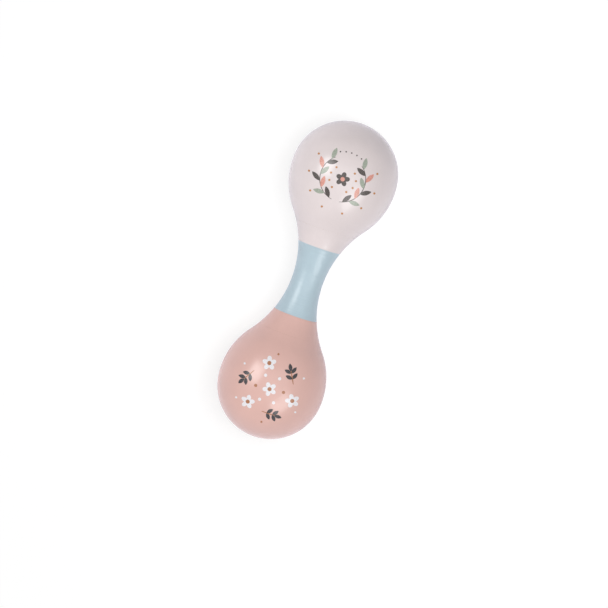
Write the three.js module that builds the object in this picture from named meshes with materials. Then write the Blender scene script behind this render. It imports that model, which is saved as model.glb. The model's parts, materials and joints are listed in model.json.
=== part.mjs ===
// A double maraca: a turned wooden baby rattle, with a hollow bulb on each end of a waisted handle.
// Millimetres, +Z up. It lies on a surface along X, with the pink bulb towards +X, and the origin is
// on that surface, below the middle of the handle. Each bulb is a shell that is hollowed out through
// its mouth, filled with loose steel balls and glued over a plug that is turned on the handle's end.
import * as THREE from 'three';

// Outline of the turned body: an end cap, a shoulder and a neck, three arcs that run into each other
const BULB_DIAMETER = 50;
const BULB_SPACING = 102; // between the widest stations of the two bulbs
const SHOULDER_RADIUS = 34; // the bulb's side, from its widest station towards the handle
const CROWN_SHIFT = 1.06; // how far outside the widest station the end cap has its centre
const WAIST_DIAMETER = 14.8;

// Glued joints and hollows
const HANDLE_LENGTH = 51.4; // between the two seams, without the plugs
const PLUG_DIAMETER = 22;
const PLUG_LENGTH = 6;
const PLUG_CHAMFER = 0.8;
const GLUE_GAP = 0.15;
const WALL = 4.5;

// Rattle balls, which lie in rows along X on the floor of each hollow
const BALL_DIAMETER = 5;
const BALL_ROWS = [3, 4, 3];
const BALL_GAP = 0.4; // between neighbours, seen from above
const SEAT_GAP = 0.3; // between a ball and the wall that it lies on or flies up to

// Facets
const TURN_SIDES = 32;
const ARC_STEP = 4; // longest chord along an outline
const BALL_SIDES = 12;
const BALL_RINGS = 8;

// Worked out from the sizes above. Stations are distances along the axis from the handle's middle.
const bulbRadius = BULB_DIAMETER / 2;
const waistRadius = WAIST_DIAMETER / 2;
const bulbStation = BULB_SPACING / 2;
const seamStation = HANDLE_LENGTH / 2;
const plugRadius = PLUG_DIAMETER / 2;
const ballRadius = BALL_DIAMETER / 2;
const rise = bulbRadius - waistRadius;
const neckRadius = (rise ** 2 + bulbStation ** 2) / (2 * rise) - SHOULDER_RADIUS;
const neckCentre = waistRadius + neckRadius;
const shoulderCentre = bulbRadius - SHOULDER_RADIUS;
const crownRadius = SHOULDER_RADIUS - Math.hypot(CROWN_SHIFT, shoulderCentre);
const crownCentre = bulbStation + CROWN_SHIFT;
const crownAngle = Math.atan2(-shoulderCentre, CROWN_SHIFT);
const neckAngle = Math.atan2(neckCentre - shoulderCentre, -bulbStation);
const axisHeight = bulbRadius;
const facetReach = 1 / Math.cos(Math.PI / TURN_SIDES); // out to the corners of facets that touch the circle

const paint = (color) => new THREE.MeshStandardMaterial({ color, roughness: 0.38, metalness: 0 });
const materials = {
  pink: paint(0xe3d8d9),
  blue: paint(0xbed1db),
  coral: paint(0xdeb6ac),
  steel: new THREE.MeshStandardMaterial({ color: 0xb9bcc0, roughness: 0.3, metalness: 1 }),
};

/** The arcs of half the outline, tip first, or of the curve that lies `inset` below it all along. */
function outlineArcs(inset) {
  const shoulder = { x: bulbStation, y: shoulderCentre, radius: SHOULDER_RADIUS - inset };
  return [
    { x: crownCentre, y: 0, radius: crownRadius - inset, start: 0, end: crownAngle },
    { ...shoulder, start: crownAngle, end: Math.PI / 2 },
    { ...shoulder, start: Math.PI / 2, end: neckAngle },
    { x: 0, y: neckCentre, radius: neckRadius + inset, start: neckAngle - Math.PI, end: -Math.PI / 2 },
  ];
}

/** The angle at which an arc passes a station. The neck's centre lies outside it, so it turns below 0. */
function angleAt(arc, station) {
  const cosine = THREE.MathUtils.clamp((station - arc.x) / arc.radius, -1, 1);
  return Math.sign(arc.end) * Math.acos(cosine);
}

/** Points (radius, station) of the outline, from the tip or the station `from` in to the station `to`. */
function outline({ from = Infinity, to, inset = 0 }) {
  const points = [];
  for (const arc of outlineArcs(inset)) {
    const stationAt = (angle) => arc.x + arc.radius * Math.cos(angle);
    if (stationAt(arc.end) >= from || stationAt(arc.start) <= to) continue;
    const first = stationAt(arc.start) > from ? angleAt(arc, from) : arc.start;
    const last = stationAt(arc.end) < to ? angleAt(arc, to) : arc.end;
    const steps = Math.ceil((arc.radius * Math.abs(last - first)) / ARC_STEP);
    for (let i = points.length ? 1 : 0; i <= steps; i += 1) {
      const angle = first + ((last - first) * i) / steps;
      points.push(new THREE.Vector2(arc.y + arc.radius * Math.sin(angle), stationAt(angle)));
    }
  }
  return points;
}

/** The outline's radius at one station. */
function radiusAt(station, inset) {
  const arc = outlineArcs(inset).find(({ x, radius, end }) => x + radius * Math.cos(end) <= station);
  return arc.y + arc.radius * Math.sin(angleAt(arc, station));
}

/** A mesh turned about X from a profile of (radius, station) points, lying on a facet. */
function turned(name, profile, material, towards = 1) {
  const geometry = new THREE.LatheGeometry(profile, TURN_SIDES, Math.PI / TURN_SIDES);
  geometry.scale(facetReach, 1, facetReach);
  const mesh = new THREE.Mesh(geometry, material);
  mesh.name = name;
  mesh.rotation.z = (-towards * Math.PI) / 2;
  mesh.position.z = axisHeight;
  return mesh;
}

/** The handle: one concave sweep from seam to seam, with a chamfered plug on each end. */
function makeHandle() {
  const plugEnd = seamStation + PLUG_LENGTH;
  const half = [
    new THREE.Vector2(0, plugEnd),
    new THREE.Vector2(plugRadius - PLUG_CHAMFER, plugEnd),
    new THREE.Vector2(plugRadius, plugEnd - PLUG_CHAMFER),
    new THREE.Vector2(plugRadius, seamStation),
    ...outline({ from: seamStation, to: 0 }),
  ];
  const mirrored = half.slice(0, -1).map((point) => new THREE.Vector2(point.x, -point.y));
  return turned('handle', [...mirrored, ...half.reverse()], materials.blue);
}

/** A bulb: a shell of even wall, with a mouth that takes the handle's plug. */
function makeBulb(name, material, towards) {
  const mouth = seamStation + GLUE_GAP;
  const boreEnd = seamStation + PLUG_LENGTH + GLUE_GAP;
  const boreRadius = plugRadius + GLUE_GAP;
  const profile = [
    ...outline({ to: boreEnd, inset: WALL }),
    new THREE.Vector2(boreRadius, boreEnd),
    new THREE.Vector2(boreRadius, mouth),
    ...outline({ to: mouth }).reverse(),
  ];
  return turned(name, profile, material, towards);
}

/** The loose balls of one bulb, each on the hollow's floor, with the way that it can fly up. */
function makeBalls(colour, towards) {
  const geometry = new THREE.SphereGeometry(ballRadius, BALL_SIDES, BALL_RINGS);
  const pitch = BALL_DIAMETER + BALL_GAP;
  const rowPitch = pitch * Math.sin(Math.PI / 3);
  const balls = [];
  BALL_ROWS.forEach((count, row) => {
    const y = (row - (BALL_ROWS.length - 1) / 2) * rowPitch;
    for (let i = 0; i < count; i += 1) {
      const station = bulbStation + (i - (count - 1) / 2) * pitch;
      const drop = Math.sqrt(radiusAt(station, WALL + ballRadius + SEAT_GAP) ** 2 - y ** 2);
      const ball = new THREE.Mesh(geometry, materials.steel);
      ball.name = `${colour}_rattle_ball_${balls.length + 1}`;
      ball.position.set(towards * station, y, axisHeight - drop);
      ball.userData.slide = { axis: [0, 0, 1], range: [0, 2 * drop] };
      balls.push(ball);
    }
  });
  return balls;
}

const maraca = new THREE.Group();
maraca.add(makeHandle());
maraca.add(makeBulb('pink_bulb_shell', materials.pink, 1));
maraca.add(makeBulb('coral_bulb_shell', materials.coral, -1));
maraca.add(...makeBalls('pink', 1));
maraca.add(...makeBalls('coral', -1));
maraca.userData.grip = { centre: [0, 0, axisHeight], axis: [1, 0, 0], radius: waistRadius };

export default maraca;
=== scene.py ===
"""A double maraca: a turned and painted wooden baby rattle that lies on a pale floor.

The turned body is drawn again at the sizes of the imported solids, as smooth surfaces of revolution with
their coats of paint. The bulbs get their print, and the balls inside take their places from the solids.
Lengths are metres, in the frame of the solids: X along the maraca towards its pink bulb, Z up.
"""

import json
import logging
import math
from abc import ABC, abstractmethod
from dataclasses import dataclass, field
from enum import Enum, IntEnum

import bpy
import numpy as np
from mathutils import Matrix, Vector


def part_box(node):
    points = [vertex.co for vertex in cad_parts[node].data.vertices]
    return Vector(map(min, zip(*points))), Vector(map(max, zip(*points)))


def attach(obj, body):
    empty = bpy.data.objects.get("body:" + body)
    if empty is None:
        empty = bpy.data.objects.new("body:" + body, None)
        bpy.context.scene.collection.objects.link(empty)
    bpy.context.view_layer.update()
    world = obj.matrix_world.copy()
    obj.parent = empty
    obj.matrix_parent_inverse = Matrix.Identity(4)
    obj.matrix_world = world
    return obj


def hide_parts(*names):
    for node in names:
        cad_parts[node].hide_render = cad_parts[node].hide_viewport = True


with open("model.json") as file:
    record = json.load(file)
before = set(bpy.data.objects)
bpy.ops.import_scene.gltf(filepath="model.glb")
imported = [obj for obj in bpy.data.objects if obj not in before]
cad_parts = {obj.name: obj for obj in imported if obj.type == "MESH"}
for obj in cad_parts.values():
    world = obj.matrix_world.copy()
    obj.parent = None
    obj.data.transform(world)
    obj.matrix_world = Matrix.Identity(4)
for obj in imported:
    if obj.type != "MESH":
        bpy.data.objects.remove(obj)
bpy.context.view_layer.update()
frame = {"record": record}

MM = 0.001
CREASE = math.radians(40)  # faces that meet at more than this have an edge between them

Colour = tuple[float, float, float]
Lengths = tuple[float, float, float]
Place = tuple[float, float]
Faces = list[list[int]]
Surface = tuple[np.ndarray, Faces, np.ndarray]
Material = bpy.types.Material
Socket = bpy.types.NodeSocket
log = logging.getLogger("maraca")


class End(Enum):
    """The two ends of the maraca, as the way along X that each one points."""

    PINK = 1
    CORAL = -1

    @property
    def label(self) -> str:
        """The first word in the names of this end's pieces."""
        return self.name.lower()


# Meshes


def make_object(
    name: str, points: np.ndarray, faces: Faces, zones: np.ndarray, materials: list[Material]
) -> bpy.types.Object:
    """Makes a smooth-shaded mesh object at the origin, with an edge wherever it creases.

    Args:
        name: the piece's name.
        points: its vertices, one row each.
        faces: the vertex numbers of each face, seen from outside.
        zones: the material number of each face.
        materials: its materials, in the order of those numbers.

    Returns:
        The new object, in the scene.
    """
    mesh = bpy.data.meshes.new(name)
    mesh.from_pydata(points.tolist(), [], faces)
    for material in materials:
        mesh.materials.append(material)
    mesh.polygons.foreach_set("use_smooth", np.ones(len(faces), bool))
    mesh.polygons.foreach_set("material_index", zones.astype(np.int32))
    mesh.set_sharp_from_angle(angle=CREASE)
    mesh.update()
    piece = bpy.data.objects.new(name, mesh)
    bpy.context.scene.collection.objects.link(piece)
    return piece


def grid_faces(rows: np.ndarray, closed: bool) -> np.ndarray:
    """Quads between the rows of a grid of vertex numbers.

    Args:
        rows: vertex numbers, one row for each step of the first parameter.
        closed: whether each row's end joins its start.

    Returns:
        One quad a line, facing the side from which the second parameter runs clockwise.
    """
    after = np.roll(rows, -1, axis=1) if closed else rows[:, 1:]
    before = rows if closed else rows[:, :-1]
    quads = np.stack([before[:-1], after[:-1], after[1:], before[1:]], axis=-1)
    return quads.reshape(-1, 4)


def revolve(profile: np.ndarray, height: float, sides: int) -> Surface:
    """The surface that a profile sweeps as it turns about an axis along X.

    The point (x, r) of the profile becomes (x, r cos t, height + r sin t) at the turn angle t. The
    profile starts and ends on the axis, in one vertex each, and runs towards +X on the outside.

    Args:
        profile: points (x, r), from one end of the axis round to the other.
        height: the axis's height.
        sides: how many steps make a full turn.

    Returns:
        The vertices, the faces, and the number of the profile's stretch that each face belongs to.
    """
    turn = np.linspace(0, 2 * np.pi, sides, endpoint=False)
    x, r = profile[1:-1, :1], profile[1:-1, 1:]
    rings = np.stack([x + 0 * turn, r * np.cos(turn), height + r * np.sin(turn)], axis=-1)
    start, end = [[profile[0, 0], 0, height]], [[profile[-1, 0], 0, height]]
    points = np.concatenate([start, rings.reshape(-1, 3), end])
    rows = 1 + np.arange(rings.shape[0] * sides).reshape(-1, sides)
    first, last = rows[0], rows[-1]
    start_fan = np.stack([0 * first, np.roll(first, -1), first], axis=-1)
    end_fan = np.stack([last, np.roll(last, -1), 0 * last + len(points) - 1], axis=-1)
    quads = grid_faces(rows, closed=True)
    faces = [*start_fan.tolist(), *quads.tolist(), *end_fan.tolist()]
    return points, faces, np.repeat(np.arange(len(profile) - 1), sides)


# The turned outline


@dataclass(frozen=True)
class Arc:
    """A circular stretch of the outline, between two angles about its centre.

    At the angle a, an arc of the radius c about (s, h) has the station s + c cos a and the turned
    radius h + c sin a.
    """

    station: float
    height: float
    radius: float
    start: float
    end: float

    def station_at(self, angle: float) -> float:
        """The distance along the axis at which the arc has turned to an angle."""
        return self.station + self.radius * math.cos(angle)

    def angle_at(self, station: np.ndarray | float) -> np.ndarray | float:
        """The angle where the arc passes a station; below 0 if its centre lies outside the wood."""
        cosine = np.clip((station - self.station) / self.radius, -1, 1)
        return math.copysign(1, self.end) * np.arccos(cosine)

    def radius_at(self, station: np.ndarray | float) -> np.ndarray | float:
        """The turned radius where the arc passes a station."""
        return self.height + self.radius * np.sin(self.angle_at(station))


@dataclass(frozen=True)
class Outline:
    """The body's outline: an end cap, a shoulder and a neck, arcs that run into each other.

    Stations are distances along the axis from the middle of the handle, alike towards both ends.
    """

    bulb_radius: float = 25 * MM
    bulb_station: float = 51 * MM
    shoulder_radius: float = 34 * MM
    crown_shift: float = 1.06 * MM
    waist_radius: float = 7.4 * MM
    step: float = 0.7 * MM

    def arcs(self, inset: float = 0.0) -> list[Arc]:
        """The outline's arcs, or those of the curve that lies below it all along.

        Args:
            inset: how far below the outline the curve lies.

        Returns:
            The end cap, the shoulder and the neck.
        """
        rise = self.bulb_radius - self.waist_radius
        neck_radius = (rise**2 + self.bulb_station**2) / (2 * rise) - self.shoulder_radius
        neck_height = self.waist_radius + neck_radius
        shoulder_height = self.bulb_radius - self.shoulder_radius
        crown_radius = self.shoulder_radius - math.hypot(self.crown_shift, shoulder_height)
        crown_angle = math.atan2(-shoulder_height, self.crown_shift)
        neck_angle = math.atan2(neck_height - shoulder_height, -self.bulb_station)
        crown = Arc(self.bulb_station + self.crown_shift, 0, crown_radius - inset, 0, crown_angle)
        side = self.shoulder_radius - inset
        shoulder = Arc(self.bulb_station, shoulder_height, side, crown_angle, neck_angle)
        neck = Arc(0, neck_height, neck_radius + inset, neck_angle - math.pi, -math.pi / 2)
        return [crown, shoulder, neck]

    def path(self, outer: float, inner: float, inset: float = 0.0) -> np.ndarray:
        """Points along the outline, from one station in to another.

        Args:
            outer: the station to start at; infinity starts at the tip.
            inner: the station to end at.
            inset: how far below the outline the points lie.

        Returns:
            Rows of (station, radius), at even steps along each arc.
        """
        stretches = []
        for arc in self.arcs(inset):
            if arc.station_at(arc.end) >= outer or arc.station_at(arc.start) <= inner:
                continue
            first = arc.angle_at(outer) if arc.station_at(arc.start) > outer else arc.start
            last = arc.angle_at(inner) if arc.station_at(arc.end) < inner else arc.end
            steps = math.ceil(arc.radius * abs(last - first) / self.step)
            angles = np.linspace(first, last, steps + 1)[1 if stretches else 0 :]
            station = arc.station + arc.radius * np.cos(angles)
            stretches.append(np.stack([station, arc.height + arc.radius * np.sin(angles)], axis=-1))
        return np.concatenate(stretches)

    def radius_at(self, station: np.ndarray) -> np.ndarray:
        """The turned radius at each station.

        Args:
            station: distances from the middle of the handle.

        Returns:
            The radius of the arc that passes each of them.
        """
        crown, shoulder, neck = self.arcs()
        on_shoulder = station >= shoulder.station_at(shoulder.end)
        on_crown = station >= crown.station_at(crown.end)
        inside = np.where(on_shoulder, shoulder.radius_at(station), neck.radius_at(station))
        return np.where(on_crown, crown.radius_at(station), inside)


# Finishes


class Shader:
    """A new material's nodes, with short calls that add them and join them.

    Most values of a noise lie between noise_low and noise_high.
    """

    noise_low: float = 0.3
    noise_high: float = 0.7

    def __init__(self, name: str) -> None:
        """Starts the material with its shader and its place on the object.

        Args:
            name: the material's name.
        """
        self.material = bpy.data.materials.new(name)
        self.material.use_nodes = True
        self.nodes = self.material.node_tree.nodes
        self.surface = self.nodes["Principled BSDF"]
        self.place = self.nodes.new("ShaderNodeTexCoord").outputs["Object"]

    def join(self, source: Socket, target: Socket) -> None:
        """Links an output to an input."""
        self.material.node_tree.links.new(source, target)

    def noise(self, size: Lengths, detail: float = 2.0) -> Socket:
        """Noise in the object's own space.

        Args:
            size: how long its features are along X, Y and Z.
            detail: how many finer layers it has.

        Returns:
            The noise's value, from 0 to 1 and mostly near a half.
        """
        mapping = self.nodes.new("ShaderNodeMapping")
        mapping.inputs["Scale"].default_value = [1 / length for length in size]
        self.join(self.place, mapping.inputs["Vector"])
        noise = self.nodes.new("ShaderNodeTexNoise")
        noise.inputs["Scale"].default_value = 1.0
        noise.inputs["Detail"].default_value = detail
        self.join(mapping.outputs["Vector"], noise.inputs["Vector"])
        return noise.outputs["Fac"]

    def spread(self, value: Socket, low: float, high: float) -> Socket:
        """Widens a noise's middle range to another range.

        Args:
            value: the noise's value.
            low: what its low values become.
            high: what its high values become.

        Returns:
            The new value, from low to high.
        """
        node = self.nodes.new("ShaderNodeMapRange")
        node.inputs["From Min"].default_value = self.noise_low
        node.inputs["From Max"].default_value = self.noise_high
        node.inputs["To Min"].default_value = low
        node.inputs["To Max"].default_value = high
        self.join(value, node.inputs["Value"])
        return node.outputs["Result"]

    def add(self, first: Socket, second: Socket) -> Socket:
        """The sum of two values.

        Args:
            first: one of them.
            second: the other.

        Returns:
            The sum.
        """
        node = self.nodes.new("ShaderNodeMath")
        self.join(first, node.inputs[0])
        self.join(second, node.inputs[1])
        return node.outputs[0]

    def times(self, value: Socket, factor: float) -> Socket:
        """A value times a number.

        Args:
            value: the value.
            factor: the number.

        Returns:
            The product.
        """
        node = self.nodes.new("ShaderNodeMath")
        node.operation = "MULTIPLY"
        node.inputs[1].default_value = factor
        self.join(value, node.inputs[0])
        return node.outputs[0]

    def tint(self, factor: Socket, low: Colour, high: Colour) -> None:
        """Colours the surface between two colours.

        Args:
            factor: how far it is from the first colour to the second, from 0 to 1.
            low: the first colour.
            high: the second colour.
        """
        node = self.nodes.new("ShaderNodeMix")
        node.data_type = "RGBA"
        # A Mix node's sockets for colours are its inputs 6 and 7 and its output 2.
        node.inputs[6].default_value = (*low, 1)
        node.inputs[7].default_value = (*high, 1)
        self.join(factor, node.inputs["Factor"])
        self.join(node.outputs[2], self.surface.inputs["Base Color"])

    def roughen(self, value: Socket, low: float, high: float) -> None:
        """Lets a noise's value sway the surface's roughness from low to high."""
        self.join(self.spread(value, low, high), self.surface.inputs["Roughness"])

    def bump(self, height: Socket, depth: float) -> None:
        """Raises the surface.

        Args:
            height: how high each place is, as a share of the depth.
            depth: the height of a share of 1.
        """
        node = self.nodes.new("ShaderNodeBump")
        node.inputs["Distance"].default_value = depth
        self.join(height, node.inputs["Height"])
        self.join(node.outputs["Normal"], self.surface.inputs["Normal"])


def shade(colour: Colour, share: float) -> Colour:
    """A colour made lighter or darker by a share of itself."""
    return tuple(channel * (1 + share) for channel in colour)


@dataclass(frozen=True)
class Paint:
    """A coat of paint on turned wood under satin lacquer.

    The coat is cloudy, the grain shows faintly along X, the tool's rings run round the axis, and the
    lacquer has a fine peel.
    """

    name: str
    colour: Colour
    cloud: float = 0.025
    cloud_size: float = 9 * MM
    cloud_share: float = 0.7
    grain_length: float = 14 * MM
    grain_width: float = 0.7 * MM
    roughness: float = 0.24
    roughness_sway: float = 0.03
    ring_depth: float = 0.009 * MM
    ring_width: float = 0.5 * MM
    ring_reach: float = 60 * MM
    peel_depth: float = 0.009 * MM
    peel_size: float = 1.1 * MM

    def material(self) -> Material:
        """Makes the finish.

        Returns:
            Its material.
        """
        shader = Shader(self.name)
        cloud = shader.noise((self.cloud_size,) * 3, detail=3)
        grain = shader.noise((self.grain_length, self.grain_width, self.grain_width))
        rings = shader.noise((self.ring_width, self.ring_reach, self.ring_reach))
        peel = shader.noise((self.peel_size,) * 3, detail=1)
        clouding = shader.spread(cloud, 0, self.cloud_share)
        wander = shader.add(clouding, shader.spread(grain, 0, 1 - self.cloud_share))
        shader.tint(wander, shade(self.colour, -self.cloud), shade(self.colour, self.cloud))
        shader.roughen(cloud, self.roughness - self.roughness_sway, self.roughness + self.roughness_sway)
        height = shader.add(rings, shader.times(peel, self.peel_depth / self.ring_depth))
        shader.bump(height, self.ring_depth)
        return shader.material


@dataclass(frozen=True)
class Ink:
    """Print that lies under the lacquer, with the uneven tone of a hand-cut stamp."""

    name: str
    colour: Colour
    mottle: float = 0.14
    blot_size: float = 0.5 * MM
    smooth: float = 0.22
    rough: float = 0.32

    def material(self) -> Material:
        """Makes the finish.

        Returns:
            Its material.
        """
        shader = Shader(self.name)
        blot = shader.noise((self.blot_size,) * 3, detail=4)
        dark, light = shade(self.colour, -self.mottle), shade(self.colour, self.mottle)
        shader.tint(shader.spread(blot, 0, 1), dark, light)
        shader.roughen(blot, self.smooth, self.rough)
        return shader.material


@dataclass(frozen=True)
class BareWood:
    """The pale wood of the plugs, the bores and the hollows, with its growth rings and flecks."""

    name: str = "bare_beech"
    pale: Colour = (0.62, 0.44, 0.27)
    dark: Colour = (0.46, 0.29, 0.16)
    growth_size: Lengths = (40 * MM, 2.2 * MM, 5 * MM)
    growth_share: float = 0.65
    fleck_size: Lengths = (2.5 * MM, 0.25 * MM, 0.25 * MM)
    fleck_depth: float = 0.03 * MM
    smooth: float = 0.55
    rough: float = 0.75

    def material(self) -> Material:
        """Makes the finish.

        Returns:
            Its material.
        """
        shader = Shader(self.name)
        growth = shader.noise(self.growth_size, detail=3)
        flecks = shader.noise(self.fleck_size)
        growing = shader.spread(growth, 0, self.growth_share)
        tone = shader.add(growing, shader.spread(flecks, 0, 1 - self.growth_share))
        shader.tint(tone, self.dark, self.pale)
        shader.roughen(flecks, self.smooth, self.rough)
        shader.bump(flecks, self.fleck_depth)
        return shader.material


@dataclass(frozen=True)
class TumbledSteel:
    """The steel of the rattle balls, dulled and dented by tumbling."""

    name: str = "tumbled_steel"
    light: Colour = (0.66, 0.66, 0.67)
    dull: Colour = (0.42, 0.42, 0.44)
    dent_size: float = 0.35 * MM
    dent_depth: float = 0.02 * MM
    smooth: float = 0.22
    rough: float = 0.42

    def material(self) -> Material:
        """Makes the finish.

        Returns:
            Its material.
        """
        shader = Shader(self.name)
        dents = shader.noise((self.dent_size,) * 3, detail=5)
        shader.tint(shader.spread(dents, 0, 1), self.dull, self.light)
        shader.roughen(dents, self.smooth, self.rough)
        shader.bump(dents, self.dent_depth)
        shader.surface.inputs["Metallic"].default_value = 1.0
        return shader.material


@dataclass(frozen=True)
class Finishes:
    """Every finish of the maraca, made once."""

    pink: Material = field(default_factory=Paint("pink_paint", (0.787, 0.703, 0.702)).material)
    blue: Material = field(
        default_factory=Paint(
            "blue_paint", (0.462, 0.587, 0.655), roughness=0.3, ring_depth=0.13 * MM, ring_width=1.0 * MM
        ).material
    )
    coral: Material = field(default_factory=Paint("coral_paint", (0.739, 0.468, 0.417)).material)
    wood: Material = field(default_factory=BareWood().material)
    steel: Material = field(default_factory=TumbledSteel().material)
    umber: Material = field(default_factory=Ink("umber_ink", (0.085, 0.07, 0.065)).material)
    sage: Material = field(default_factory=Ink("sage_ink", (0.36, 0.40, 0.33)).material)
    blush: Material = field(default_factory=Ink("blush_ink", (0.70, 0.32, 0.26)).material)
    ochre: Material = field(default_factory=Ink("ochre_ink", (0.52, 0.24, 0.09)).material)
    charcoal: Material = field(default_factory=Ink("charcoal_ink", (0.045, 0.04, 0.045)).material)
    rust: Material = field(default_factory=Ink("rust_ink", (0.42, 0.18, 0.09)).material)
    white: Material = field(default_factory=Ink("white_ink", (0.83, 0.81, 0.84), mottle=0.04).material)

    def paint(self, end: End) -> Material:
        """The paint of one end's bulb."""
        return self.pink if end is End.PINK else self.coral


# The turned body


@dataclass(frozen=True)
class TurnedBody:
    """Sizes that the handle and the two bulbs share."""

    outline: Outline = Outline()
    axis_height: float = 25 * MM
    seam_station: float = 25.7 * MM
    seam_gap: float = 0.02 * MM
    plug_radius: float = 11 * MM
    plug_length: float = 6 * MM
    plug_chamfer: float = 0.8 * MM
    glue_gap: float = 0.15 * MM
    wall: float = 4.5 * MM
    lip_width: float = 0.25 * MM
    lip_depth: float = 0.018 * MM
    lip_steps: int = 5
    sides: int = 192

    def lip(self, station: float, inward: float) -> np.ndarray:
        """The paint's rounded edge at a glued seam, a quarter of a round drop to the joint.

        At the angle a, up to a right angle, it is lip_width times 1 - cos a from the seam, and
        lip_depth times 1 - sin a below the outline.

        Args:
            station: where the seam is.
            inward: 1 for the edge on the bulb's side, -1 for the handle's.

        Returns:
            Rows of (station, radius) from the seam on.
        """
        angle = np.linspace(0, np.pi / 2, self.lip_steps, endpoint=False)
        along = station + inward * self.lip_width * (1 - np.cos(angle))
        radius = self.outline.radius_at(along) - self.lip_depth * (1 - np.sin(angle))
        return np.stack([along, radius], axis=-1)


class Coat(IntEnum):
    """What covers a stretch of the handle, as the number of its material."""

    WOOD = 0
    BLUE = 1
    PINK = 2
    CORAL = 3


@dataclass(frozen=True)
class Handle:
    """The waisted handle: one concave sweep, with a plug on each end that goes into a bulb."""

    body: TurnedBody
    finishes: Finishes
    pink_line: float = 16.75 * MM
    coral_line: float = 17.0 * MM
    coat_depth: float = 0.05 * MM
    coat_edge: float = 0.12 * MM

    def half_profile(self, line: float, paint: Coat) -> tuple[np.ndarray, np.ndarray]:
        """Half the handle's section, from the end of a plug to the waist.

        Plug, seam face, painted flare down to the band, the coat's edge, and the band, which lies one
        coat lower.

        Args:
            line: the station at which the flare's paint ends.
            paint: that paint.

        Returns:
            Rows of (station, radius), and what covers each stretch between them.
        """
        body = self.body
        seam, end = body.seam_station, body.seam_station + body.plug_length
        plug = np.array(
            [
                [end, 0],
                [end, body.plug_radius - body.plug_chamfer],
                [end - body.plug_chamfer, body.plug_radius],
                [seam, body.plug_radius],
            ]
        )
        lip = body.lip(seam, -1)
        flare = body.outline.path(seam - body.lip_width, line)
        band = body.outline.path(line - self.coat_edge, 0, self.coat_depth)
        coats = [Coat.WOOD] * len(plug) + [paint] * (len(lip) + len(flare)) + [Coat.BLUE] * (len(band) - 1)
        return np.concatenate([plug, lip, flare, band]), np.array(coats)

    def build(self) -> bpy.types.Object:
        """Makes the handle and puts it in the solid's place.

        Returns:
            The piece, on its body.
        """
        pink, pink_coats = self.half_profile(self.pink_line, Coat.PINK)
        coral, coral_coats = self.half_profile(self.coral_line, Coat.CORAL)
        profile = np.concatenate([coral[:-1] * (-1, 1), pink[::-1]])
        coats = np.concatenate([coral_coats, pink_coats[::-1]])
        points, faces, stretch = revolve(profile, self.body.axis_height, self.body.sides)
        materials = [self.finishes.wood, self.finishes.blue, self.finishes.pink, self.finishes.coral]
        piece = make_object("painted_handle", points, faces, coats[stretch], materials)
        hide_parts("handle")
        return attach(piece, "maraca")


@dataclass(frozen=True)
class Bulb:
    """One hollow bulb: a painted shell with a bare hollow, and a mouth over the handle's plug."""

    body: TurnedBody
    finishes: Finishes
    end: End

    def profile(self) -> tuple[np.ndarray, np.ndarray]:
        """The shell's section: the hollow from its tip, the bore, the mouth, and the outside to the tip.

        Returns:
            Rows of (station, radius), and whether each stretch between them is painted.
        """
        body = self.body
        mouth = body.seam_station + body.seam_gap
        bore_end = body.seam_station + body.plug_length + body.glue_gap
        bore_radius = body.plug_radius + body.glue_gap
        hollow = body.outline.path(math.inf, bore_end, body.wall)
        bore = np.array([[bore_end, bore_radius], [mouth, bore_radius]])
        outside = body.outline.path(math.inf, mouth + body.lip_width)[::-1]
        rows = np.concatenate([hollow, bore, body.lip(mouth, 1), outside])
        bare = len(hollow) + len(bore)
        return rows, np.repeat([False, True], [bare, len(rows) - 1 - bare])

    def build(self) -> bpy.types.Object:
        """Makes the shell and puts it in the solid's place.

        Returns:
            The piece, on its body.
        """
        profile, painted = self.profile()
        if self.end is End.CORAL:
            profile, painted = (profile * (-1, 1))[::-1], painted[::-1]
        points, faces, stretch = revolve(profile, self.body.axis_height, self.body.sides)
        materials = [self.finishes.wood, self.finishes.paint(self.end)]
        piece = make_object(f"{self.end.label}_bulb", points, faces, painted[stretch], materials)
        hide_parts(f"{self.end.label}_bulb_shell")
        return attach(piece, "maraca")


@dataclass(frozen=True)
class RattleBalls:
    """The loose steel balls of both bulbs, each on its own body."""

    finishes: Finishes
    radius: float = 2.5 * MM
    out_of_round: float = 0.008
    sides: int = 32
    rings: int = 16

    def surface(self, centre: Vector, turn: float) -> Surface:
        """A ball that is slightly out of round, as tumbled shot is.

        At the angles a from its pole and t round it, its radius is the ball's, less a small share
        that goes with sin(a)^2 and with the cosine of 2 t.

        Args:
            centre: the ball's middle.
            turn: how far its flatter side is turned.

        Returns:
            The vertices, the faces, and the number of the ring stretch of each face.
        """
        polar = np.linspace(0, np.pi, self.rings + 1)
        profile = self.radius * np.stack([-np.cos(polar), np.sin(polar)], axis=-1)
        points, faces, stretch = revolve(profile, 0.0, self.sides)
        around = np.arctan2(points[:, 2], points[:, 1])
        lift = np.hypot(points[:, 1], points[:, 2]) / self.radius
        shrink = 1 - self.out_of_round * lift**2 * (1 + np.cos(2 * around + turn)) / 2
        return points * shrink[:, None] + np.array(centre), faces, stretch

    def build(self) -> list[bpy.types.Object]:
        """Makes every ball in its solid's place.

        Returns:
            The pieces, each on its body.
        """
        pieces = []
        for body, nodes in frame["record"]["behaviour"]["bodies"].items():
            for node in (name for name in nodes if "_rattle_ball_" in name):
                low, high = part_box(node)
                points, faces, stretch = self.surface((low + high) / 2, float(len(pieces)))
                piece = make_object(f"{body}_shot", points, faces, 0 * stretch, [self.finishes.steel])
                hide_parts(node)
                pieces.append(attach(piece, body))
        return pieces


# The print on the bulbs

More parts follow.
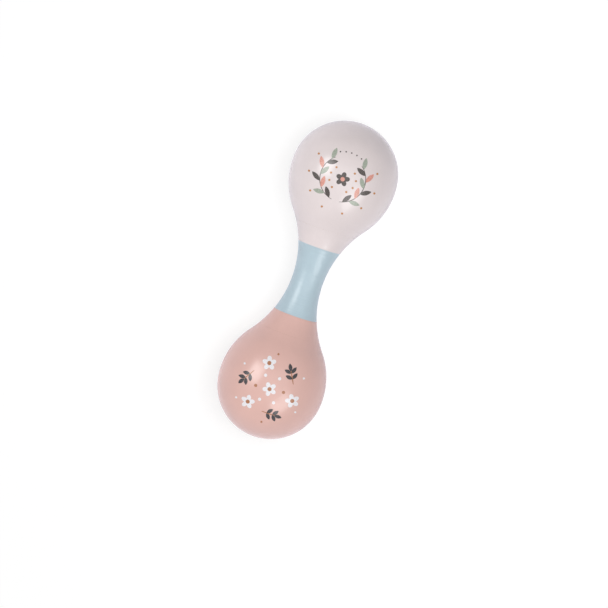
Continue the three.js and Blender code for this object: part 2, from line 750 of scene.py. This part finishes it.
BLADE_GRID = (17, 5)  # points along and across a leaf
ARC_GRID = (49, 3)  # points along and across a round stem
ARC_FULLNESS = 0.3
STROKE_TIP = 0.02  # how far inside its curve a stroke begins and ends
ROSETTE_SIDES = 60
ROSETTE_RINGS = (0.02, 0.35, 0.7, 1.0)  # shares of the rim's radius


def stroke_grid(counts: tuple[int, int], fullness: float) -> tuple[np.ndarray, np.ndarray]:
    """Shares along and across a stroke that swells from its ends to its middle.

    At the share s of its length it is as wide as sin(pi s) to the power of its fullness. It begins and
    ends just inside that curve, so its tips are never quite 0 wide.

    Args:
        counts: how many points it has along and across.
        fullness: below 1 for blunt tips, above 1 for drawn-out ones.

    Returns:
        The share along, as a column, and the share across, from -1/2 to 1/2 of the full width.
    """
    along = np.linspace(0, 1, counts[0])[:, None]
    across = np.linspace(-0.5, 0.5, counts[1])[None, :]
    swell = np.sin(np.pi * (STROKE_TIP + (1 - 2 * STROKE_TIP) * along)) ** fullness
    return along, swell * across


def polar(radius: float, angle: float) -> Place:
    """The place at a distance and an angle from the print's middle."""
    return radius * math.cos(angle), radius * math.sin(angle)


@dataclass(frozen=True)
class Motif:
    """A flat printed shape: points in its own plane, and faces."""

    points: np.ndarray
    faces: np.ndarray

    @staticmethod
    def from_grid(points: np.ndarray, closed: bool = False) -> "Motif":
        """The motif over a grid of points whose second parameter runs to the left of its first."""
        numbers = np.arange(points[..., 0].size).reshape(points.shape[:2])
        return Motif(points.reshape(-1, 2), grid_faces(numbers, closed)[:, ::-1])

    @staticmethod
    def blade(length: float, width: float, fullness: float = 0.8) -> "Motif":
        """A leaf, or a thin one for a stem: a straight stroke along the first axis.

        Args:
            length: from tip to tip.
            width: at its widest.
            fullness: below 1 for blunt tips, above 1 for drawn-out ones.

        Returns:
            The motif, with one tip at the origin.
        """
        along, across = stroke_grid(BLADE_GRID, fullness)
        return Motif.from_grid(np.stack([length * along + 0 * across, width * across], axis=-1))

    @staticmethod
    def arc(radius: float, start: float, end: float, width: float) -> "Motif":
        """A thin stroke along a circle: at the share s of its way its angle is start + s (end - start).

        Args:
            radius: the circle's.
            start: the angle of one end.
            end: the angle of the other end.
            width: at its widest.

        Returns:
            The motif, with the circle's middle at the origin.
        """
        along, across = stroke_grid(ARC_GRID, ARC_FULLNESS)
        far = radius - math.copysign(width, end - start) * across
        angle = start + (end - start) * along
        return Motif.from_grid(np.stack([far * np.cos(angle), far * np.sin(angle)], axis=-1))

    @staticmethod
    def rosette(radius: float, petals: int = 0, depth: float = 0.0) -> "Motif":
        """A dot, or a blossom with round petals.

        At the angle t its rim is at radius times 1 - depth (1 - |cos(petals t / 2)|). Smaller rings
        of the same shape lie inside it, and quads from side to side close the innermost.

        Args:
            radius: out to the petals' ends.
            petals: how many; a plain dot has none.
            depth: how deep the notches between them are, as a share of the radius.

        Returns:
            The motif, with its middle at the origin.
        """
        turn = np.linspace(0, 2 * np.pi, ROSETTE_SIDES, endpoint=False)
        rim = radius * (1 - depth * (1 - np.abs(np.cos(petals * turn / 2))))
        share = np.array(ROSETTE_RINGS)[:, None]
        points = np.stack([share * rim * np.cos(turn), share * rim * np.sin(turn)], axis=-1)
        rings = Motif.from_grid(points, closed=True)
        near = np.arange(ROSETTE_SIDES // 2)
        far = ROSETTE_SIDES - 1 - near
        heart = np.stack([near[:-1], near[1:], far[1:], far[:-1]], axis=-1)
        return Motif(rings.points, np.concatenate([rings.faces, heart]))

    def placed(self, middle: Place, turn: float) -> "Motif":
        """The motif turned about its origin, then moved."""
        cos, sin = math.cos(turn), math.sin(turn)
        return Motif(self.points @ np.array([[cos, sin], [-sin, cos]]) + np.array(middle), self.faces)


@dataclass
class Print(ABC):
    """The print on the upper side of one bulb, laid down straight from above as a stamp pad does.

    Motifs that lie over each other are on different layers, which are a share of the lift apart.
    """

    body: TurnedBody
    finishes: Finishes
    end: End
    lift: float = 0.03 * MM
    layers: int = 4
    layer_share: float = 0.2
    thickness: float = 0.06 * MM
    slope_step: float = 0.01 * MM
    motifs: list[tuple[Motif, Material]] = field(default_factory=list)

    @abstractmethod
    def lay_out(self) -> None:
        """Adds the motifs, a later one over an earlier one."""

    def add(self, motif: Motif, ink: Material, middle: Place = (0, 0), turn: float = 0) -> None:
        """Adds a motif, in metres from the middle of the print, the first axis towards the tip."""
        self.motifs.append((motif.placed(middle, turn), ink))

    def on_bulb(self, flat: np.ndarray, lift: float) -> np.ndarray:
        """Points of the print's plane, brought straight down on to the bulb.

        The point (a, b) goes to the station a past the bulb's widest and b to the side, up to the
        height at which the turned circle there has that offset, and then out along the normal.

        Args:
            flat: the points (a, b), one row each.
            lift: how far out along the normal they go.

        Returns:
            The points in space, one row each.
        """
        outline, way, nudge = self.body.outline, self.end.value, self.slope_step
        station, side = outline.bulb_station + flat[:, 0], flat[:, 1]
        radius = outline.radius_at(station)
        slope = (outline.radius_at(station + nudge) - outline.radius_at(station - nudge)) / (2 * nudge)
        up = np.sqrt(radius**2 - side**2)
        normal = np.stack([-way * slope * radius, way * side, up], axis=-1)
        normal /= np.linalg.norm(normal, axis=1, keepdims=True)
        base = np.stack([way * station, way * side, self.body.axis_height + up], axis=-1)
        return base + lift * normal

    def build(self) -> bpy.types.Object:
        """Makes the print as one thin piece.

        Returns:
            The piece, on the bulb's body.
        """
        self.lay_out()
        inks = list(dict.fromkeys(ink for _, ink in self.motifs))
        points, faces, zones, count = [], [], [], 0
        for order, (motif, ink) in enumerate(self.motifs):
            layer = self.lift * (1 + self.layer_share * (order % self.layers))
            points.append(self.on_bulb(motif.points, layer))
            faces.extend((motif.faces + count).tolist())
            zones.extend([inks.index(ink)] * len(motif.faces))
            count += len(motif.points)
        name = f"{self.end.label}_print"
        piece = make_object(name, np.concatenate(points), faces, np.array(zones), inks)
        film = piece.modifiers.new("film", "SOLIDIFY")
        film.thickness = self.thickness
        rim = piece.modifiers.new("crisp_rim", "EDGE_SPLIT")
        rim.split_angle = CREASE
        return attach(piece, "maraca")


@dataclass
class Wreath(Print):
    """An open wreath: two leafy stems that rise from the handle's side, dots, and a blossom inside.

    Angles are in degrees from the way to the bulb's tip, and the second stem mirrors the first.
    """

    ring: float = 10.5 * MM
    stem_width: float = 0.34 * MM
    stem_foot: float = 170
    stem_tip: float = 36
    leaf_count: int = 8
    leaf_length: float = 5.2 * MM
    leaf_width: float = 2.1 * MM
    leaf_first: float = 162
    leaf_step: float = 16.5
    leaf_lean: float = 38
    dot_radius: float = 0.5 * MM
    dot_outside: float = 5.4 * MM
    dot_inside: float = 4.4 * MM
    blossom_radius: float = 3.3 * MM
    petals: int = 5
    petal_depth: float = 0.45
    heart_radius: float = 1.0 * MM
    bead_count: int = 5
    bead_radius: float = 0.34 * MM
    bead_ring: float = 12.5 * MM
    bead_step: float = 12

    def lay_out(self) -> None:
        """Adds both stems, the blossom, and the row of beads that closes the wreath."""
        for side in (1, -1):
            self.add_stem(side)
        blossom = Motif.rosette(self.blossom_radius, self.petals, self.petal_depth)
        self.add(blossom, self.finishes.umber)
        self.add(Motif.rosette(self.heart_radius), self.finishes.blush)
        bead = Motif.rosette(self.bead_radius)
        for k in range(self.bead_count):
            angle = math.radians(self.bead_step * (k - (self.bead_count - 1) / 2))
            self.add(bead, self.finishes.umber, polar(self.bead_ring, angle))

    def add_stem(self, side: int) -> None:
        """Adds a stem, with leaves that lean in and out by turns, and a dot across the stem from each.

        Args:
            side: 1 or -1, for the two sides of the wreath.
        """
        inks = [self.finishes.umber, self.finishes.sage, self.finishes.blush]
        foot, tip = side * math.radians(self.stem_foot), side * math.radians(self.stem_tip)
        leaf, dot = Motif.blade(self.leaf_length, self.leaf_width), Motif.rosette(self.dot_radius)
        self.add(Motif.arc(self.ring, foot, tip, self.stem_width), self.finishes.umber)
        for k in range(self.leaf_count):
            angle = side * math.radians(self.leaf_first - self.leaf_step * k)
            lean = side * math.radians(self.leaf_lean if k % 2 else -self.leaf_lean)
            turn = angle - side * math.pi / 2 + lean
            self.add(leaf, inks[k % len(inks)], polar(self.ring, angle), turn)
            far = self.ring - self.dot_inside if k % 2 else self.ring + self.dot_outside
            self.add(dot, self.finishes.ochre, polar(far, angle))


@dataclass
class Toss(Print):
    """Blossoms and leafy sprigs by turns round a middle blossom, with dots between them.

    The places of the first ones are in degrees round it, and leans and turns are in radians.
    """

    ring: float = 11.8 * MM
    ring_count: int = 6
    ring_first: float = 20
    blossom_radius: float = 3.3 * MM
    blossom_turn: float = 2.4
    petals: int = 5
    petal_depth: float = 0.5
    heart_radius: float = 0.95 * MM
    sprig_length: float = 8.4 * MM
    sprig_lean: float = 1.2
    stem_share: float = 0.8
    stem_width: float = 0.45 * MM
    stem_fullness: float = 0.3
    leaf_length: float = 3.4 * MM
    leaf_width: float = 1.7 * MM
    leaf_lean: float = 0.9
    leaf_pairs: tuple[float, ...] = (0.3, 0.62)
    leaf_tip: float = 0.74
    dot_count: int = 12
    dot_first: float = 5
    dot_rings: tuple[float, float] = (16.2 * MM, 6.6 * MM)
    dot_radii: tuple[float, float] = (0.5 * MM, 0.75 * MM)

    def lay_out(self) -> None:
        """Adds the middle blossom, the ring of blossoms and sprigs, and the dots."""
        self.add_blossom((0, 0), 0)
        for k in range(self.ring_count):
            angle = math.radians(self.ring_first + 360 / self.ring_count * k)
            if k % 2:
                self.add_blossom(polar(self.ring, angle), self.blossom_turn * k)
            else:
                self.add_sprig(polar(self.ring, angle), angle + self.sprig_lean)
        dots = [Motif.rosette(radius) for radius in self.dot_radii]
        for k in range(self.dot_count):
            angle = math.radians(self.dot_first + 360 / self.dot_count * k)
            ink = self.finishes.white if k % 3 else self.finishes.rust
            self.add(dots[k % 2], ink, polar(self.dot_rings[k % 2], angle))

    def add_blossom(self, middle: Place, turn: float) -> None:
        """Adds a blossom and its heart.

        Args:
            middle: its place.
            turn: how far its petals are turned.
        """
        blossom = Motif.rosette(self.blossom_radius, self.petals, self.petal_depth)
        self.add(blossom, self.finishes.white, middle, turn)
        self.add(Motif.rosette(self.heart_radius), self.finishes.rust, middle)

    def add_sprig(self, middle: Place, turn: float) -> None:
        """Adds a stem with pairs of leaves and one leaf at its tip.

        Args:
            middle: the place of the sprig's middle.
            turn: the way that it points.
        """
        leaf = Motif.blade(self.leaf_length, self.leaf_width)
        stem = Motif.blade(self.stem_share * self.sprig_length, self.stem_width, self.stem_fullness)
        along = self.sprig_length * np.array(polar(1, turn))
        foot = np.array(middle) - along / 2
        self.add(stem, self.finishes.rust, tuple(foot), turn)
        for share in self.leaf_pairs:
            for side in (1, -1):
                lean = side * self.leaf_lean
                self.add(leaf, self.finishes.charcoal, tuple(foot + share * along), turn + lean)
        self.add(leaf, self.finishes.charcoal, tuple(foot + self.leaf_tip * along), turn)


# The studio


class LitStage(Enum):
    """What a light falls on, as the state of the backdrop among the things that the light reaches."""

    MARACA = "EXCLUDE"
    BACKDROP = "INCLUDE"


@dataclass(frozen=True)
class Softbox:
    """A rectangular soft light that faces the middle of the maraca, for the maraca or for the backdrop.

    Its bearing is in degrees from +X towards +Y, and its elevation in degrees above the floor.
    """

    name: str
    bearing: float
    elevation: float
    distance: float
    width: float
    height: float
    power: float
    lit: LitStage = LitStage.MARACA

    def build(self, target: Vector, backdrop: bpy.types.Object) -> None:
        """Makes the light.

        Args:
            target: the point that the light faces.
            backdrop: the plane that the camera sees below the maraca.
        """
        bearing, elevation = math.radians(self.bearing), math.radians(self.elevation)
        flat = math.cos(elevation)
        way = Vector((flat * math.cos(bearing), flat * math.sin(bearing), math.sin(elevation)))
        light = bpy.data.lights.new(self.name, "AREA")
        light.shape = "RECTANGLE"
        light.size, light.size_y = self.width, self.height
        light.energy = self.power
        lamp = bpy.data.objects.new(self.name, light)
        lamp.location = target + way * self.distance
        lamp.rotation_euler = way.to_track_quat("Z", "Y").to_euler()
        bpy.context.scene.collection.objects.link(lamp)
        reached = bpy.data.collections.new(f"{self.name}_reach")
        reached.objects.link(backdrop)
        reached.collection_objects[0].light_linking.link_state = self.lit.value
        lamp.light_linking.receiver_collection = reached


@dataclass(frozen=True)
class Studio:
    """The pale floor and the backdrop on it, the even light all round, the softboxes, and the camera."""

    middle: Vector = Vector((0, 0, 25 * MM))
    floor_side: float = 6.0
    floor_depth: float = 0.2 * MM
    floor_tone: Colour = (0.96, 0.935, 0.95)
    # a cool glow that only reflections see: a painted reflection on the maraca's rims
    floor_reflection_glow: Colour = (0.08, 0.13, 0.22)
    backdrop_tone: Colour = (0.25, 0.25, 0.25)
    backdrop_glow: Colour = (0.81, 0.81, 0.81)
    ambient: float = 0.16
    film_width: float = 36.0
    view_distance: float = 1.6
    view_span: float = 0.2826
    view_lean: float = 5.0
    view_roll: float = 19.14
    view_centre: Place = (-10.95 * MM, -2.08 * MM)
    softboxes: tuple[Softbox, ...] = (
        Softbox("back_softbox", bearing=76, elevation=48, distance=2.4, width=1.2, height=1.2, power=30),
        Softbox("front_softbox", bearing=229, elevation=46, distance=2.4, width=1.7, height=1.2, power=28),
        Softbox("top_softbox", bearing=289, elevation=78, distance=2.6, width=2.2, height=2.2, power=13.5),
        Softbox(
            "backdrop_softbox", bearing=296, elevation=79, distance=1.3, width=0.6, height=0.6, power=12.5,
            lit=LitStage.BACKDROP,
        ),
    )

    def plane(self, name: str, height: float, tone: Colour, glow: Colour) -> bpy.types.Object:
        """A wide level square of one matt colour, which gives off some light of its own.

        Args:
            name: the plane's and its material's name.
            height: its height.
            tone: its colour.
            glow: the colour of its own light.

        Returns:
            The plane, marked as part of the stage.
        """
        half = self.floor_side / 2
        flat_corners = [(-half, -half), (half, -half), (half, half), (-half, half)]
        corners = np.array([(x, y, height) for x, y in flat_corners])
        material = bpy.data.materials.new(name)
        material.use_nodes = True
        sockets = material.node_tree.nodes["Principled BSDF"].inputs
        sockets["Base Color"].default_value = (*tone, 1)
        sockets["Roughness"].default_value = 1
        sockets["Specular IOR Level"].default_value = 0
        sockets["Emission Color"].default_value = (*glow, 1)
        sockets["Emission Strength"].default_value = 1
        square = make_object(name, corners, [[0, 1, 2, 3]], np.zeros(1), [material])
        return square

    def build_floor(self) -> bpy.types.Object:
        """Makes the floor, which throws light back, and the backdrop on it, which only the camera sees.

        In reflections alone the floor gives off a cool glow, a painted reflection that tints the maraca's
        rims. The backdrop gives off most of its light itself, so it is white and still takes a soft
        shadow.

        Returns:
            The backdrop.
        """
        floor = self.plane("floor", -self.floor_depth, self.floor_tone, self.floor_reflection_glow)
        floor.visible_camera = False
        tree = floor.active_material.node_tree
        # The floor glows only for glossy rays, a painted cool reflection on the maraca.
        path = tree.nodes.new("ShaderNodeLightPath")
        strength = tree.nodes["Principled BSDF"].inputs["Emission Strength"]
        tree.links.new(path.outputs["Is Glossy Ray"], strength)
        backdrop = self.plane("backdrop", 0, self.backdrop_tone, self.backdrop_glow)
        for ray in ("diffuse", "glossy", "transmission", "volume_scatter", "shadow"):
            setattr(backdrop, f"visible_{ray}", False)
        return backdrop

    def seen_directly(self, nodes: bpy.types.Nodes, links: bpy.types.NodeLinks) -> Socket:
        """Tells the rays that see the world from those that light the maraca.

        Args:
            nodes: the world's nodes.
            links: the world's links.

        Returns:
            1 for the camera, in a reflection or through something clear, and else 0.
        """
        path = nodes.new("ShaderNodeLightPath")
        total = path.outputs["Is Camera Ray"]
        for name in ("Is Glossy Ray", "Is Transmission Ray"):
            either = nodes.new("ShaderNodeMath")
            either.operation = "MAXIMUM"
            links.new(total, either.inputs[0])
            links.new(path.outputs[name], either.inputs[1])
            total = either.outputs[0]
        return total

    def build_world(self) -> None:
        """Makes the even light from all round, white where it is seen."""
        world = bpy.data.worlds.new("studio")
        world.use_nodes = True
        nodes, links = world.node_tree.nodes, world.node_tree.links
        lit, seen = nodes["Background"], nodes.new("ShaderNodeBackground")
        lit.inputs["Color"].default_value = (1, 1, 1, 1)
        lit.inputs["Strength"].default_value = self.ambient
        seen.inputs["Color"].default_value = (1, 1, 1, 1)
        mix = nodes.new("ShaderNodeMixShader")
        links.new(self.seen_directly(nodes, links), mix.inputs[0])
        links.new(lit.outputs[0], mix.inputs[1])
        links.new(seen.outputs[0], mix.inputs[2])
        links.new(mix.outputs[0], nodes["World Output"].inputs["Surface"])
        bpy.context.scene.world = world

    def build_camera(self) -> None:
        """Makes the camera, with a long lens nearly straight above, leaning towards the pink bulb."""
        lean, roll = math.radians(self.view_lean), math.radians(self.view_roll)
        target = Vector((*self.view_centre, self.middle.z))
        back = Vector((math.sin(lean), 0, math.cos(lean)))
        right = Vector((math.cos(roll), math.sin(roll), 0)).cross(back).normalized()
        up = back.cross(right)
        lens = bpy.data.cameras.new("camera")
        lens.sensor_width = self.film_width
        lens.lens = self.film_width * self.view_distance / self.view_span
        camera = bpy.data.objects.new("camera", lens)
        turn = Matrix((right, up, back)).transposed()
        camera.matrix_world = Matrix.Translation(target + back * self.view_distance) @ turn.to_4x4()
        bpy.context.scene.collection.objects.link(camera)
        bpy.context.scene.camera = camera

    def build(self) -> None:
        """Makes the floor, the light and the camera."""
        backdrop = self.build_floor()
        self.build_world()
        for softbox in self.softboxes:
            softbox.build(self.middle, backdrop)
        self.build_camera()
        bpy.context.scene.view_settings.view_transform = "Standard"


def main() -> None:
    """Builds the maraca and its studio."""
    logging.basicConfig(level=logging.INFO, format="%(name)s: %(message)s")
    Studio().build()
    body, finishes = TurnedBody(), Finishes()
    pieces = [Handle(body, finishes).build()]
    for end, design in ((End.PINK, Wreath), (End.CORAL, Toss)):
        pieces.append(Bulb(body, finishes, end).build())
        pieces.append(design(body, finishes, end).build())
    pieces.extend(RattleBalls(finishes).build())


if __name__ == "__main__":
    main()
